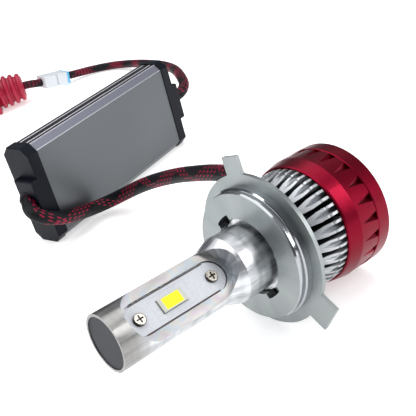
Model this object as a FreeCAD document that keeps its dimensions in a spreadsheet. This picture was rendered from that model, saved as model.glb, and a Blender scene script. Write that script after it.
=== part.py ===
"""LED headlight bulb, P43t cap, with its driver box, leads and three-blade plug.

The origin is the centre of the cap's reference plane, the front face of the flange.
+Z is up.  The lamp lies on a flat surface, on the edge of its flange and the rear rim
of its shroud, so its axis rises a little towards the tip, which points along +X.  The
driver box stands on its long narrow edge beside it.

Lamp pieces are drawn about their own axis: local Z runs from the fan to the tip and
local X is square to the front board.  Driver pieces are drawn in the box's frame:
local X runs along the box from the lamp's end, local Y is its thickness.
"""
import FreeCAD, Part
import math
import os
import re

from FreeCAD import Placement, Rotation, Vector

SIZES = {
    # cap and its flange
    "flange_radius": 21.5, "flange_thick": 1.16, "tab_length": 4.8,
    "tab_radius": "flange_radius + tab_length",
    "tab_wide": 8.8, "tab_narrow": 5.8, "tab_turn": 11.0,
    "boss_radius": 18.5, "boss_height": 4.2, "boss_groove": 0.45, "cap_gap": 1.47,
    "cap_hole_radius": "body_radius + cap_gap", "recess_step": 1.5,
    "cap_recess_radius": "cap_hole_radius + recess_step", "cap_recess_depth": 2.6,
    "notch_width": 5.6, "notch_angle": 84.0,
    # lamp body
    "body_radius": 9.33, "body_front": 12.5, "stem_step": 1.83,
    "stem_radius": "body_radius - stem_step", "stem_start": 17.2, "lamp_tip": 49.7,
    "flat_height": 3.0, "flat_start": 13.4, "tip_land": 4.1,
    "flat_end": "lamp_tip - tip_land", "spigot_step": 1.33,
    "spigot_radius": "body_radius - spigot_step", "spigot_end": 13.0,
    "wire_bore_radius": 2.2, "tip_wall": 0.7, "tip_disc_radius": "stem_radius - tip_wall",
    "tip_disc_thick": 1.0, "edge_break": 0.25, "collar_gap": 0.35,
    "collar_radius": "cap_hole_radius - collar_gap", "collar_top": 2.2,
    "pin_width": 4.4, "pin_height": 2.0, "pin_gap": 0.3,
    "pin_reach": "cap_recess_radius - pin_gap", "pin_depth": 1.73,
    "pin_root": "body_radius - pin_depth", "pin_low": -0.8,
    # boards and LEDs
    "board_width": 8.4, "board_thick": 1.0, "board_face": 2.56, "board_gap": 1.2,
    "board_start": "flat_start + board_gap", "board_end": "flat_end - 1.0", "slot_gap": 0.22,
    "led_place": 31.0, "led_length": 7.2, "led_width": 3.6, "led_height": 0.6,
    "phosphor_length": "led_length - 2.1", "phosphor_width": "led_width - 0.6",
    "phosphor_depth": 0.3, "screw_inset": 3.8, "board_screw_low": "board_start + screw_inset",
    "board_screw_high": "board_end - screw_inset", "screw_head_radius": 1.6,
    "screw_head_height": 0.85, "screw_shank_radius": 0.9, "screw_point_gap": 0.26,
    "screw_length": "board_face - screw_point_gap", "screw_hole_gap": 0.2,
    # seal and heat sink
    "seal_gap": 0.2, "seal_inner": "cap_recess_radius + seal_gap", "seal_width": 2.7,
    "seal_outer": "seal_inner + seal_width", "seal_thick": 1.9, "sink_front": 1.3,
    "sink_gap": 0.4, "sink_boss_radius": "seal_inner - sink_gap", "fin_front": 3.4,
    "fin_front_radius": "sink_boss_radius + 0.9", "fin_radius": 17.0, "sink_rear": 18.8,
    "hub_wall": 1.6, "sink_hub_radius": "spigot_radius + hub_wall", "fin_count": 24,
    "fin_web": 1.5, "fin_prong": 0.74, "fork_reach": 4.5,
    "fork_spread": 1.5, "fin_groove": 0.45, "groove_pitch": 1.5, "groove_count": 4,
    "fin_fork": "sink_hub_radius + fork_reach", "sink_wire_radius": 3.0,
    # shroud
    "shroud_lap": 3.2, "shroud_front": "sink_rear - shroud_lap",
    "fin_shoulder": "shroud_front - 2.1", "shroud_front_wall": 0.65,
    "shroud_front_radius": "fin_radius + shroud_front_wall", "shroud_cone": 4.6,
    "shroud_band": "shroud_front + shroud_cone", "shroud_band_wall": 1.45,
    "shroud_band_radius": "fin_radius + shroud_band_wall",
    "shroud_rear_radius": "shroud_band_radius + 0.15", "shroud_rear": "fan_front + 11.8",
    "shroud_wall": 1.35, "shroud_lip": 0.5, "facet_count": 22,
    "facet_start": "shroud_band + 0.8", "facet_length": 6.0,
    "facet_end": "facet_start + facet_length", "facet_depth": 1.05, "facet_turn": 10.4,
    # fan
    "fan_clearance": 1.4, "fan_front": "sink_rear + fan_clearance",
    "fan_outer": "shroud_band_radius - shroud_wall", "fan_ring_wall": 1.2,
    "fan_ring_end": "fan_front + 10.2", "fan_plate": 1.4, "fan_hub_radius": 7.0,
    "strut_count": 4, "strut_width": 1.8, "blade_count": 9, "blade_gap": 0.6,
    "blade_front": "fan_front + 2.7", "blade_rear": "fan_front + 8.4", "blade_thick": 0.7,
    "blade_twist": 34.0, "rotor_wall": 0.8, "rotor_front": "fan_front + 2.5",
    "rotor_rear": "fan_front + 9.1", "magnet_thick": 0.8, "magnet_length": 4.2,
    "stator_gap": 0.5, "stator_radius": "fan_hub_radius - rotor_wall - magnet_thick - stator_gap",
    "stator_front": "fan_front + 3.2", "stator_thick": 3.2, "pole_count": 4,
    "holder_radius": 2.3, "holder_end": "fan_front + 7.2", "bearing_radius": 1.6,
    "shaft_radius": 0.75, "bearing_gap": 0.02, "fan_board_thick": 0.6,
    "fan_board_radius": "fan_hub_radius - 0.5",
    # lamp cable and its gland
    "cable_radius": 2.6, "gland_angle": 112.0, "gland_lean": 15.0, "gland_place": 4.5,
    "gland_side": 7.9,
    "gland_gap": 0.3, "gland_inner": "sink_hub_radius + gland_gap",
    "gland_outer": "fin_radius - 2.8", "gland_wall": 0.9, "bush_bore": 1.6,
    # driver box
    "box_length": 75.0, "box_height": 38.7, "box_thick": 12.9, "box_chamfer": 2.8,
    "box_wall": 1.2, "box_groove": 0.5, "box_turn": 194.08, "box_x": 7.0, "box_y": -100.3,
    "end_rim": 0.35, "end_thick": 4.6, "end_spigot": 4.0, "end_gap": 0.15, "end_edge": 0.6,
    "block_height": 15.6, "block_thick": 9.8, "block_depth": 2.8, "grommet_length": 3.6,
    "grommet_gap": 0.6, "hole_shift": 0.3, "hole_place": "block_thick / 2 + hole_shift",
    "mouth_turn": 40.0, "mouth_dip": 14.0, "pcb_thick": 1.2, "pcb_edge_gap": 4.35,
    "pcb_height": "box_height - 2 * pcb_edge_gap", "pcb_gap": 2.0,
    "pcb_margin": "end_spigot + pcb_gap", "pcb_place": 4.0, "coil_radius": 5.5,
    "coil_gap": 0.5,
    "coil_height": "box_thick - box_wall - pcb_place - pcb_thick - coil_gap",
    "can_radius": "coil_height / 2 + 0.2", "can_length": 11.0,
    "chip_place": 15.0, "chip_length": 9.0, "chip_width": 7.0, "chip_height": 2.2,
    "part_gap": 2.0, "coil_place": "chip_place + chip_length + part_gap + coil_radius",
    "can_place": "coil_place + coil_radius + part_gap",
    # supply lead, connector and plug
    "lead_radius": 2.4, "link_length": 8.6, "link_width": 11.5, "link_height": 7.4,
    "link_neck": 4.0, "link_gap": 0.2, "link_wall": 1.4, "neck_gap": 0.1,
    "boot_length": 17.0, "boot_width": 21.0, "boot_height": 19.0, "rib_count": 4,
    "rib_groove": 1.3, "plug_length": 18.0, "plug_width": 26.0, "plug_height": 19.6,
    "blade_length": 13.0, "blade_width": 8.0, "blade_sheet": 0.8, "blade_edge": 4.0,
    "blade_root": 6.0,
}

doc = FreeCAD.newDocument("headlight_bulb")
sheet = doc.addObject("Spreadsheet::Sheet", "Sizes")
for row, alias in enumerate(SIZES, start=1):
    sheet.set("A%d" % row, alias)
    sheet.setAlias("B%d" % row, alias)
for row, value in enumerate(SIZES.values(), start=1):
    sheet.set("B%d" % row, "=" + value if isinstance(value, str) else str(value))
doc.recompute()


# ---------------------------------------------------------------- shared helpers
def size(alias):
    """A size as the sheet holds it."""
    return float(sheet.get(alias))


def bind(obj, **expressions):
    """Bind properties to sums of sheet cells.  place_x, place_y and place_z set the place."""
    for prop, text in expressions.items():
        text = re.sub(r"[a-z][a-z_]*[a-z]", lambda word: "Sizes." + word.group(0), str(text))
        path = {"place_x": "Placement.Base.x", "place_y": "Placement.Base.y",
                "place_z": "Placement.Base.z"}.get(prop, prop)
        obj.setExpression(path, text)
    return obj


def cylinder(name, radius, height, z="0", **more):
    obj = doc.addObject("Part::Cylinder", name)
    return bind(obj, Radius=radius, Height=height, place_z=z, **more)


def cone(name, low_radius, high_radius, height, z):
    obj = doc.addObject("Part::Cone", name)
    return bind(obj, Radius1=low_radius, Radius2=high_radius, Height=height, place_z=z)


def box(name, length, width, height, x="0", y="0", z="0"):
    obj = doc.addObject("Part::Box", name)
    return bind(obj, Length=length, Width=width, Height=height,
                place_x=x, place_y=y, place_z=z)


def fuse(name, *parts):
    obj = doc.addObject("Part::MultiFuse", name)
    obj.Shapes = list(parts)
    obj.Refine = True
    return obj


def cut(name, base, *tools):
    obj = doc.addObject("Part::Cut", name)
    obj.Base = base
    obj.Tool = tools[0] if len(tools) == 1 else fuse(name + "_tools", *tools)
    return obj


def feature(name, shape):
    """A shape made with Part's own functions, for outlines that no primitive gives."""
    obj = doc.addObject("Part::Feature", name)
    obj.Shape = shape
    return obj


pieces = []


def piece(label, frame, *parts):
    """One named sub-part, made of one or more solids, put in its place."""
    obj = doc.addObject("Part::Compound", label)
    obj.Links = list(parts)
    obj.Label = label
    obj.Placement = frame
    pieces.append(obj)
    return obj


def turned(points):
    """A solid turned about local Z from (radius, z) corners."""
    corners = [Vector(radius, 0, z) for radius, z in points]
    face = Part.Face(Part.makePolygon(corners + corners[:1]))
    return face.revolve(Vector(0, 0, 0), Vector(0, 0, 1), 360)


def prism(points, depth):
    """A flat outline drawn in a plane of its own, pushed along depth."""
    return Part.Face(Part.makePolygon(points + points[:1])).extrude(depth)


def racetrack(half_width, start, end, low, high):
    """A slot shape along local Z between two half rounds, from x = low to x = high."""
    first, last = start + half_width, end - half_width
    left, right = Vector(low, -half_width, 0), Vector(low, half_width, 0)
    edges = [
        Part.LineSegment(left + Vector(0, 0, first), left + Vector(0, 0, last)).toShape(),
        Part.Arc(left + Vector(0, 0, last), Vector(low, 0, end),
                 right + Vector(0, 0, last)).toShape(),
        Part.LineSegment(right + Vector(0, 0, last), right + Vector(0, 0, first)).toShape(),
        Part.Arc(right + Vector(0, 0, first), Vector(low, 0, start),
                 left + Vector(0, 0, first)).toShape(),
    ]
    return Part.Face(Part.Wire(edges)).extrude(Vector(high - low, 0, 0))


def about_z(shape, degrees):
    """A copy of a shape turned about local Z."""
    copy = shape.copy()
    copy.rotate(Vector(0, 0, 0), Vector(0, 0, 1), degrees)
    return copy


def ring_of(shape, count, first=0.0):
    """The same shape repeated evenly round local Z."""
    return [about_z(shape, first + 360.0 * step / count) for step in range(int(count))]


def tube_along(points, radius, name):
    """A cord's tube: straight runs joined by tangent arcs as large as the runs allow."""
    corners = [Vector(*point) for point in points]
    edges, radii = [], []
    start = corners[0]
    for before, corner, after in zip(corners, corners[1:], corners[2:]):
        into, out = corner - before, after - corner
        run = min(into.Length, out.Length)
        into.normalize()
        out.normalize()
        turn = into.getAngle(out)
        reach = 0.45 * run
        radii.append(reach / math.tan(turn / 2))
        first, last = corner - into * reach, corner + out * reach
        bulge = (first + last) * 0.5 - corner
        bulge.normalize()
        middle = corner + bulge * (radii[-1] / math.cos(turn / 2) - radii[-1])
        edges.append(Part.LineSegment(start, first).toShape())
        edges.append(Part.Arc(first, middle, last).toShape())
        start = last
    edges.append(Part.LineSegment(start, corners[-1]).toShape())
    path = Part.Wire(edges)
    section = Part.Wire(Part.makeCircle(radius, corners[0], corners[1] - corners[0]))
    tube = path.makePipeShell([section], True, False)
    wanted = math.pi * radius ** 2 * path.Length
    print("%s: length %.1f, radii %s, volume ratio %.4f" % (
        name, path.Length, [round(value, 1) for value in radii], tube.Volume / wanted))
    if abs(tube.Volume / wanted - 1) > 0.01:
        raise RuntimeError(name + " has the wrong volume")
    return tube


# ---------------------------------------------------------------- where the groups stand
TILT = math.degrees(math.atan2(size("flange_radius") - size("shroud_rear_radius"),
                               size("shroud_rear") - size("flange_thick")))
BOARD_TURN = 48.3
tilt_up = Rotation(Vector(0, 1, 0), 90 - TILT)
board_round = Rotation(Vector(0, 0, 1), 90 + BOARD_TURN)
LAMP = Placement(Vector(0, 0, 0), tilt_up.multiply(board_round))
TABLE = -(size("flange_radius") * math.cos(math.radians(TILT))
          + size("flange_thick") * math.sin(math.radians(TILT)))
DRIVER = Placement(Vector(size("box_x"), size("box_y"), TABLE + size("end_rim")),
                   Rotation(Vector(0, 0, 1), size("box_turn")))


# ---------------------------------------------------------------- lamp body and boards
def lamp_body():
    """Turned aluminium stem with two milled flats, each with a slot for a board."""
    stem = cylinder("stem_round", "stem_radius", "lamp_tip - stem_start", "stem_start")
    taper = cone("stem_taper", "body_radius", "stem_radius", "stem_start - body_front",
                 "body_front")
    body = cylinder("body_round", "body_radius", "body_front + sink_front", "-sink_front")
    collar = cylinder("collar_round", "collar_radius", "collar_top + sink_front", "-sink_front")
    spigot = cylinder("spigot_round", "spigot_radius", "spigot_end - sink_front", "-spigot_end")
    bore = cylinder("wire_bore", "wire_bore_radius", "spigot_end + board_start + 2",
                    "-spigot_end")
    recess = cylinder("tip_recess", "tip_disc_radius", "tip_disc_thick",
                      "lamp_tip - tip_disc_thick")
    half_flat = math.sqrt(size("stem_radius") ** 2 - size("flat_height") ** 2)
    floor = size("board_face") - size("board_thick")
    half_slot = size("board_width") / 2 + size("slot_gap")
    flat = racetrack(half_flat, size("flat_start"), size("flat_end"),
                     size("flat_height"), size("body_radius") + 1)
    slot = racetrack(half_slot, size("board_start") - size("slot_gap"),
                     size("board_end") + size("slot_gap"), floor, size("body_radius") + 1)
    millings = [feature("milling_%d" % side, about_z(flat.fuse(slot), 180 * side))
                for side in (0, 1)]
    tapped = [bind(cylinder("tapped_%s" % end, "screw_shank_radius", "2 * body_radius",
                            "board_screw_" + end), place_x="-body_radius")
              for end in ("low", "high")]
    for hole in tapped:
        hole.Placement.Rotation = Rotation(Vector(0, 1, 0), 90)
    pin_holes = feature("pin_holes", Part.makeCompound(pin_shapes()))
    solid = fuse("lamp_body_solid", stem, taper, body, collar, spigot)
    piece("lamp_body", LAMP, cut("lamp_body_cut", solid, bore, recess, pin_holes,
                                 *millings, *tapped))
    disc = cylinder("tip_disc_round", "tip_disc_radius", "tip_disc_thick - edge_break",
                    "lamp_tip - tip_disc_thick")
    piece("tip_disc", LAMP, disc)


def pin_shapes():
    """Two flat lugs that the cap's notches pass over."""
    reach = size("pin_reach") + 1 - size("pin_root")
    pin = Part.makeBox(reach, size("pin_width"), size("pin_height"),
                       Vector(size("pin_root"), -size("pin_width") / 2, size("pin_low")))
    pin = pin.common(Part.makeCylinder(size("pin_reach"), 20, Vector(0, 0, -10)))
    return ring_of(pin, 2, size("notch_angle"))


def boards():
    """An aluminium board, its LED and the phosphor over the chips, on each flat."""
    floor = size("board_face") - size("board_thick")
    half = size("board_width") / 2
    board = racetrack(half, size("board_start"), size("board_end"), floor, size("board_face"))
    hole_radius = size("screw_shank_radius") + size("screw_hole_gap")
    for end in ("board_screw_low", "board_screw_high"):
        board = board.cut(Part.makeCylinder(hole_radius, size("board_thick"),
                                            Vector(floor, 0, size(end)), Vector(1, 0, 0)))
    for side, name in enumerate(("front", "back")):
        frame = LAMP.multiply(Placement(Vector(), Rotation(Vector(0, 0, 1), 180 * side)))
        piece("led_board_" + name, frame, feature("board_shape_" + name, board))
        package = box("package_" + name, "led_height", "led_width", "led_length",
                      "board_face", "-led_width / 2", "led_place - led_length / 2")
        window = box("window_" + name, "phosphor_depth", "phosphor_width", "phosphor_length",
                     "board_face + led_height - phosphor_depth", "-phosphor_width / 2",
                     "led_place - phosphor_length / 2")
        fill = box("fill_" + name, "phosphor_depth", "phosphor_width", "phosphor_length",
                   "board_face + led_height - phosphor_depth", "-phosphor_width / 2",
                   "led_place - phosphor_length / 2")
        piece("led_package_" + name, frame, cut("package_cut_" + name, package, window))
        piece("led_phosphor_" + name, frame, fill)


def board_screws():
    """Four cross-head screws, two to a board."""
    head = Part.makeCylinder(size("screw_head_radius"), size("screw_head_height"),
                             Vector(size("board_face"), 0, 0), Vector(1, 0, 0))
    head = head.makeFillet(0.3, [edge for edge in head.Edges
                                 if edge.CenterOfMass.x > size("board_face") + 0.5
                                 and edge.Closed])
    shank = Part.makeCylinder(size("screw_shank_radius"), size("screw_length"),
                              Vector(size("board_face"), 0, 0), Vector(-1, 0, 0))
    long_side, short_side = size("screw_head_radius") * 1.25, size("screw_head_radius") * 0.26
    depth = size("screw_head_height") * 0.5
    top = size("board_face") + size("screw_head_height")
    cross = [Part.makeBox(depth, width, height, Vector(top - depth, -width / 2, -height / 2))
             for width, height in ((long_side, short_side), (short_side, long_side))]
    screw = head.fuse(shank).cut(cross[0].fuse(cross[1]))
    solids = []
    for end in ("board_screw_low", "board_screw_high"):
        placed = screw.copy()
        placed.translate(Vector(0, 0, size(end)))
        solids += ring_of(placed, 2)
    piece("board_screws", LAMP, feature("screw_group", Part.makeCompound(solids)))


def body_pins():
    pins = feature("pin_group", Part.makeCompound(
        [pin.cut(Part.makeCylinder(size("wire_bore_radius"), 10, Vector(0, 0, -5)))
         for pin in pin_shapes()]))
    piece("bayonet_pins", LAMP, pins)


# ---------------------------------------------------------------- cap and seal
def cap():
    """P43t cap: flange with three tabs, and a turned boss with a groove round it."""
    rear, front = -size("flange_thick"), size("boss_height")
    recess_top = rear + size("cap_recess_depth")
    groove = size("boss_groove")
    outline = [
        (size("cap_recess_radius"), rear), (size("flange_radius"), rear),
        (size("flange_radius"), 0), (size("boss_radius"), 0),
        (size("boss_radius"), front * 0.45), (size("boss_radius") - groove, front * 0.5),
        (size("boss_radius") - groove, front - groove * 1.6),
        (size("boss_radius") - groove * 1.6, front), (size("cap_hole_radius"), front),
        (size("cap_hole_radius"), recess_top), (size("cap_recess_radius"), recess_top),
    ]
    turned_cap = turned(outline)
    for angle, alias in ((-90, "tab_wide"), (45, "tab_narrow"), (147, "tab_narrow")):
        start = size("boss_radius") + 1
        tab = Part.makeBox(size("tab_radius") - start, size(alias), size("flange_thick"),
                           Vector(start, -size(alias) / 2, rear))
        turned_cap = turned_cap.fuse(about_z(tab, angle + size("tab_turn")))
    notch = Part.makeBox(size("cap_recess_radius"), size("notch_width"), front + 1,
                         Vector(0, -size("notch_width") / 2, 0))
    notch = notch.common(Part.makeCylinder(size("cap_recess_radius"), front + 1))
    for copy in ring_of(notch, 2, size("notch_angle")):
        turned_cap = turned_cap.cut(copy)
    piece("cap_flange", LAMP, feature("cap_shape", turned_cap.removeSplitter()))


def cap_seal():
    ring = cylinder("seal_round", "seal_outer", "seal_thick", "-flange_thick - seal_thick")
    hole = cylinder("seal_hole", "seal_inner", "seal_thick", "-flange_thick - seal_thick")
    piece("cap_seal", LAMP, cut("seal_cut", ring, hole))


# ---------------------------------------------------------------- heat sink and shroud
def forked_fin(depth):
    """One fin's cross-section, a web that forks into two prongs, pushed back by depth."""
    web, prong = size("fin_web") / 2, size("fin_prong")
    fork, tip = size("fin_fork"), size("fin_radius") + 1
    spread = size("fin_radius") * math.sin(math.radians(90 / size("fin_count")))
    shoulder = fork + size("fork_spread")
    outer, inner = spread + prong / 2, spread - prong / 2
    half = [(size("sink_hub_radius") - 0.5, web), (fork - 0.4, web), (shoulder, outer),
            (tip, outer), (tip, inner), (shoulder + 0.3, inner), (fork + 0.9, 0)]
    points = [Vector(x, y, 0) for x, y in half]
    points += [Vector(x, -y, 0) for x, y in reversed(half[:-1])]
    return prism(points, Vector(0, 0, -depth))


def gland_frame():
    """Where the lamp cable leaves the heat sink: local X points out along the cable."""
    lean = math.radians(size("gland_lean"))
    outwards = Vector(math.cos(lean), 0, -math.sin(lean))
    turn = Rotation(Vector(0, 0, 1), size("gland_angle"))
    direction = turn.multVec(outwards)
    side = turn.multVec(Vector(0, -size("gland_side"), 0))
    return side - Vector(0, 0, size("gland_place")), direction


def heat_sink():
    """Forged aluminium hub with forked fins, cone-shaped in front, open between fins."""
    length = size("sink_rear") - size("fin_front")
    fin = forked_fin(length)
    fin.translate(Vector(0, 0, -size("fin_front")))
    envelope = turned([(0, -size("fin_front")), (size("fin_front_radius"), -size("fin_front")),
                       (size("fin_radius"), -size("fin_shoulder")),
                       (size("fin_radius"), -size("sink_rear")), (0, -size("sink_rear"))])
    rings = []
    for step in range(int(size("groove_count"))):
        place = size("fin_shoulder") - 0.6 - step * size("groove_pitch")
        rings.append(turned([(size("fin_radius") - size("fin_groove") - 0.35 * step, -place),
                             (size("fin_radius") + 1, -place),
                             (size("fin_radius") + 1, -place + size("groove_pitch") * 0.45),
                             (size("fin_radius") - size("fin_groove") - 0.35 * step,
                              -place + size("groove_pitch") * 0.45)]))
    fin = fin.common(envelope).cut(rings)
    hub = turned([(0, -size("sink_front")), (size("sink_boss_radius"), -size("sink_front")),
                  (size("sink_boss_radius"), -size("fin_front")),
                  (size("sink_hub_radius"), -size("fin_front") - 1.5),
                  (size("sink_hub_radius"), -size("sink_rear")), (0, -size("sink_rear"))])
    solid = hub.fuse(ring_of(fin, size("fin_count")))
    start, direction = gland_frame()
    hole = Part.makeCylinder(size("cable_radius") + size("gland_wall"), 30, start, direction)
    bores = Part.makeCylinder(size("spigot_radius"), size("spigot_end") - size("sink_front"),
                              Vector(0, 0, -size("spigot_end")))
    wires = Part.makeCylinder(size("sink_wire_radius"), 30, Vector(0, 0, -30))
    hole = hole.cut(Part.makeCylinder(size("gland_inner"), 60, Vector(0, 0, -40)))
    piece("heat_sink", LAMP, feature("heat_sink_shape", solid.cut([hole, bores, wires])))


def cable_gland():
    """Rubber sleeve in the fins that the lamp cable comes out of."""
    start, direction = gland_frame()
    sleeve = Part.makeCylinder(size("cable_radius") + size("gland_wall"), size("gland_outer"),
                               start, direction)
    sleeve = sleeve.cut([
        Part.makeCylinder(size("gland_inner"), 60, Vector(0, 0, -40)),
        Part.makeCylinder(size("bush_bore"), size("gland_outer") + 1, start, direction)])
    piece("lamp_cable_gland", LAMP, feature("gland_shape", sleeve))


def shroud():
    """Red anodised ring over the fins and the fan, with a band of cut facets."""
    front, band, rear = (-size("shroud_front"), -size("shroud_band"), -size("shroud_rear"))
    inner_front = size("fin_radius")
    inner_rear = size("fan_outer")
    lip = size("shroud_lip")
    outline = [
        (inner_front, front), (size("shroud_front_radius") - lip / 2, front),
        (size("shroud_front_radius"), front - lip),
        (size("shroud_band_radius"), band), (size("shroud_band_radius"), -size("facet_end")),
        (size("shroud_rear_radius"), -size("facet_end") - lip / 2),
        (size("shroud_rear_radius"), rear + lip), (size("shroud_rear_radius") - lip, rear),
        (inner_rear, rear), (inner_rear, -size("sink_rear")),
        (inner_front, -size("sink_rear")),
    ]
    solid = turned(outline)
    solid = solid.cut(ring_of(facet_tool(), size("facet_count"), size("facet_turn")))
    piece("fan_shroud", LAMP, feature("shroud_shape", solid))


def facet_tool():
    """A wedge that cuts a vee, widening and deepening from a point towards the rear."""
    radius, rear = size("shroud_band_radius"), -size("facet_end")
    deep = radius - size("facet_depth")
    pitch = 2 * math.pi * radius / size("facet_count")
    half, above = pitch * 0.47, radius + 0.9
    apex = Vector(radius + 0.02, 0, -size("facet_start"))
    apex_high = Vector(above, 0, -size("facet_start"))
    low, left, right = Vector(deep, 0, rear), Vector(above, half, rear), Vector(above, -half, rear)
    triangles = [(low, right, left), (apex, low, left), (apex, right, low),
                 (apex, left, apex_high), (apex, apex_high, right), (apex_high, left, right)]
    faces = [Part.Face(Part.makePolygon([one, two, three, one])) for one, two, three in triangles]
    solid = Part.Solid(Part.Shell(faces))
    if solid.Volume < 0:
        solid.reverse()
    return solid


# ---------------------------------------------------------------- fan
def fan_frame():
    """Plastic ring with struts to the plate that holds the motor."""
    outer = size("fan_outer")
    inner = outer - size("fan_ring_wall")
    front, plate_rear = -size("fan_front"), -size("fan_front") - size("fan_plate")
    ring = turned([(inner, front), (outer, front), (outer, -size("fan_ring_end")),
                   (inner, -size("fan_ring_end"))])
    plate = turned([(size("shaft_radius") + 0.4, front),
                    (size("fan_hub_radius"), front), (size("fan_hub_radius"), plate_rear),
                    (size("holder_radius"), plate_rear), (size("holder_radius"), -size("holder_end")),
                    (size("bearing_radius"), -size("holder_end")),
                    (size("bearing_radius"), plate_rear + 0.4),
                    (size("shaft_radius") + 0.4, plate_rear + 0.4)])
    strut = Part.makeBox(inner - size("fan_hub_radius") + 1, size("strut_width"),
                         size("fan_plate"),
                         Vector(size("fan_hub_radius") - 0.5, -size("strut_width") / 2,
                                plate_rear))
    solid = ring.fuse([plate] + ring_of(strut, size("strut_count"), 20))
    piece("fan_frame", LAMP, feature("fan_frame_shape", solid.removeSplitter()))


def fan_motor():
    """Bearing, stator and board, all fixed on the frame's plate."""
    plate_rear = size("fan_front") + size("fan_plate")
    bearing = turned([(size("shaft_radius") + size("bearing_gap"), -plate_rear + 0.4),
                      (size("bearing_radius"), -plate_rear + 0.4),
                      (size("bearing_radius"), -size("holder_end")),
                      (size("shaft_radius") + size("bearing_gap"), -size("holder_end"))])
    piece("fan_bearing", LAMP, feature("bearing_shape", bearing))
    board_rear = plate_rear + size("fan_board_thick")
    board = cylinder("fan_board_round", "fan_board_radius", "fan_board_thick",
                     "-fan_front - fan_plate - fan_board_thick")
    board_hole = cylinder("fan_board_hole", "holder_radius", "fan_board_thick",
                          "-fan_front - fan_plate - fan_board_thick")
    piece("fan_circuit_board", LAMP, cut("fan_board_cut", board, board_hole))
    stator_front = max(size("stator_front"), board_rear + 0.3)
    thick = size("stator_thick")
    core = turned([(size("holder_radius"), -stator_front), (size("holder_radius") + 0.9, -stator_front),
                   (size("holder_radius") + 0.9, -stator_front - thick),
                   (size("holder_radius"), -stator_front - thick)])
    arm = Part.makeBox(size("stator_radius") - size("holder_radius") - 0.6, 1.4, thick * 0.6,
                       Vector(size("holder_radius") + 0.5, -0.7, -stator_front - thick * 0.8))
    shoe = turned([(size("stator_radius") - 0.6, -stator_front), (size("stator_radius"), -stator_front),
                   (size("stator_radius"), -stator_front - thick),
                   (size("stator_radius") - 0.6, -stator_front - thick)])
    wedge = Part.makeBox(10, 3.6, 20, Vector(0, -1.8, -40))
    shoe = shoe.common(wedge)
    pole = arm.fuse(shoe)
    solid = core.fuse(ring_of(pole, size("pole_count")))
    piece("fan_stator", LAMP, feature("stator_shape", solid))
    coil_outer = Part.makeBox(0.7, 2.6, thick * 0.98,
                              Vector(size("holder_radius") + 1.0, -1.3, -stator_front - thick * 0.99))
    coil = coil_outer.cut(arm)
    piece("fan_coils", LAMP, feature("coil_group", Part.makeCompound(
        ring_of(coil, size("pole_count")))))


def fan_rotor():
    """Hub with twisted blades, its magnet ring and its shaft; all three turn together."""
    blade_tip = size("fan_outer") - size("fan_ring_wall") - size("blade_gap")
    hub, wall = size("fan_hub_radius"), size("rotor_wall")
    front, rear = -size("rotor_front"), -size("rotor_rear")
    cup = turned([(size("shaft_radius"), rear + wall), (hub - wall, rear + wall),
                  (hub - wall, front), (hub, front), (hub, rear + 0.5), (hub - 0.5, rear),
                  (size("shaft_radius"), rear)])
    blade = ruled_blade(hub - 0.3, blade_tip)
    solid = cup.fuse(ring_of(blade, size("blade_count")))
    piece("fan_rotor", LAMP, feature("rotor_shape", solid))
    magnet = turned([(hub - wall - size("magnet_thick"), rear + wall),
                     (hub - wall, rear + wall), (hub - wall, rear + wall + size("magnet_length")),
                     (hub - wall - size("magnet_thick"), rear + wall + size("magnet_length"))])
    piece("fan_magnet", LAMP, feature("magnet_shape", magnet))
    shaft = cylinder("shaft_round", "shaft_radius", "rotor_rear - fan_front - fan_plate + 0.2",
                     "-rotor_rear")
    piece("fan_shaft", LAMP, shaft)


def ruled_blade(root, tip):
    """A blade lofted from a steep root section to a flatter tip section."""
    middle = -(size("blade_front") + size("blade_rear")) / 2
    depth = (size("blade_rear") - size("blade_front")) / 2
    half_thick = size("blade_thick") / 2
    sections = []
    for radius, lean in ((root, size("blade_twist")), (tip, size("blade_twist") + 14)):
        lean = math.radians(lean)
        sweep = depth * math.tan(lean)
        shift = half_thick / math.cos(lean)
        corners = [Vector(radius, -sweep - shift, middle + depth),
                   Vector(radius, -sweep + shift, middle + depth),
                   Vector(radius, sweep + shift, middle - depth),
                   Vector(radius, sweep - shift, middle - depth)]
        sections.append(Part.makePolygon(corners + corners[:1]))
    blade = Part.makeLoft(sections, True, True)
    return blade.common(Part.makeCylinder(tip, 40, Vector(0, 0, -40)))


# ---------------------------------------------------------------- driver box
def box_outline(grow, x):
    """The box's section, a rectangle with its four corners cut, at a place along it."""
    height, thick = size("box_height"), size("box_thick")
    corner = size("box_chamfer")
    low, high = -grow, height + grow
    front, back = -grow, thick + grow
    slope = corner + grow * (2 - math.sqrt(2))
    points = [(front + slope, low), (back - slope, low), (back, low + slope),
              (back, high - slope), (back - slope, high), (front + slope, high),
              (front, high - slope), (front, low + slope)]
    return [Vector(x, y, z) for y, z in points]


def driver_sleeve():
    """Anodised extrusion, with two fine grooves along its top and bottom."""
    along = Vector(size("box_length"), 0, 0)
    solid = prism(box_outline(0, 0), along).cut(prism(box_outline(-size("box_wall"), 0), along))
    groove = size("box_groove")
    for y in (size("box_thick") * 0.36, size("box_thick") * 0.64):
        for z, side in ((size("box_height"), -1), (0, 1)):
            vee = [Vector(0, y - groove, z), Vector(0, y + groove, z),
                   Vector(0, y, z + side * groove)]
            solid = solid.cut(prism(vee, along))
    piece("driver_sleeve", DRIVER, feature("sleeve_shape", solid))


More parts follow.
